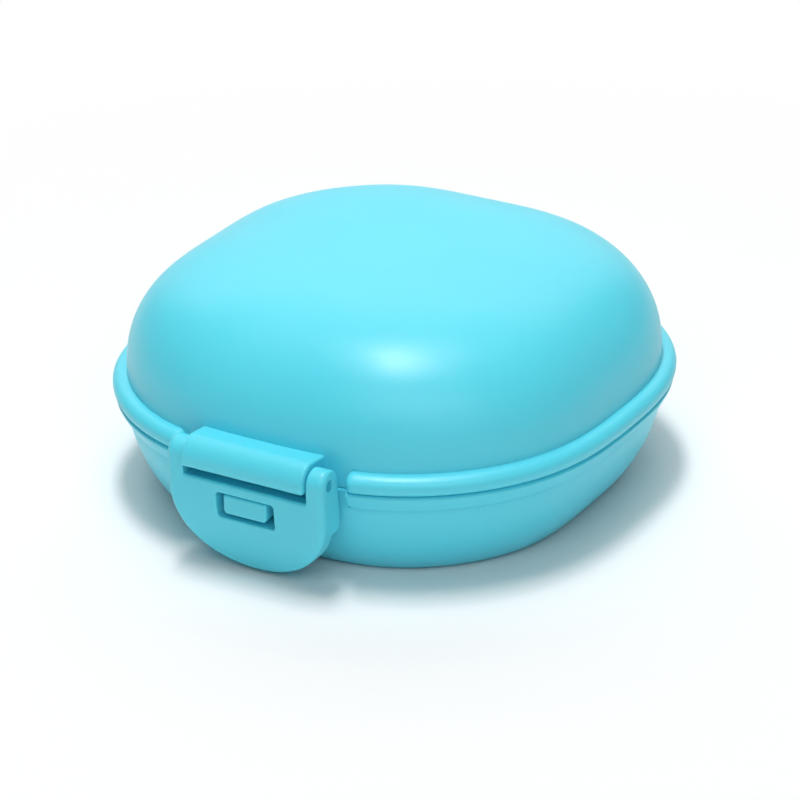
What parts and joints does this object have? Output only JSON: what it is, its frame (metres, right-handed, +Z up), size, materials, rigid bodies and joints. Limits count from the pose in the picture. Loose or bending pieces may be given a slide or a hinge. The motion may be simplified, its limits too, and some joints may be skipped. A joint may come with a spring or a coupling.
{
  "type": "travel soap box",
  "caption": "Square-round travel soap box with a domed lid on a rear pin hinge, a swinging front latch, a sealing ring and a loose slotted drain tray.",
  "frame": {"origin": "centre of the base's flat foot, on the surface that the box stands on", "axes": "+Z up, +X to the right seen from the front, -Y towards the latch, +Y towards the hinge"},
  "size_m": [0.087, 0.0971, 0.04],
  "materials": {
    "case_plastic": "satin moulded polypropylene, sky blue",
    "tray_plastic": "satin moulded polypropylene, pale sky blue",
    "seal_silicone": "matt translucent white silicone",
    "pin_steel": "drawn stainless wire"
  },
  "bodies": {
    "base": {"base_shell": "case_plastic", "hinge_pin": "pin_steel"},
    "lid": {"lid_shell": "case_plastic", "seal_ring": "seal_silicone", "latch_pin": "case_plastic"},
    "latch": {"latch_flap": "case_plastic"},
    "tray": {"drain_tray": "tray_plastic"}
  },
  "joints": [
    {"name": "lid_hinge", "type": "hinge", "parent": "base", "child": "lid", "pos_m": [0, 0.0468, 0.01685], "axis": [-1, 0, 0], "range_deg": [0, 110]},
    {"name": "latch_hinge", "type": "hinge", "parent": "lid", "child": "latch", "pos_m": [0, -0.04425, 0.019], "axis": [-1, 0, 0], "range_deg": [0, 150]},
    {"name": "tray_lift", "type": "slide", "parent": "base", "child": "tray", "axis": [0, 0, 1], "range_m": [0, 0.0075]}
  ]
}
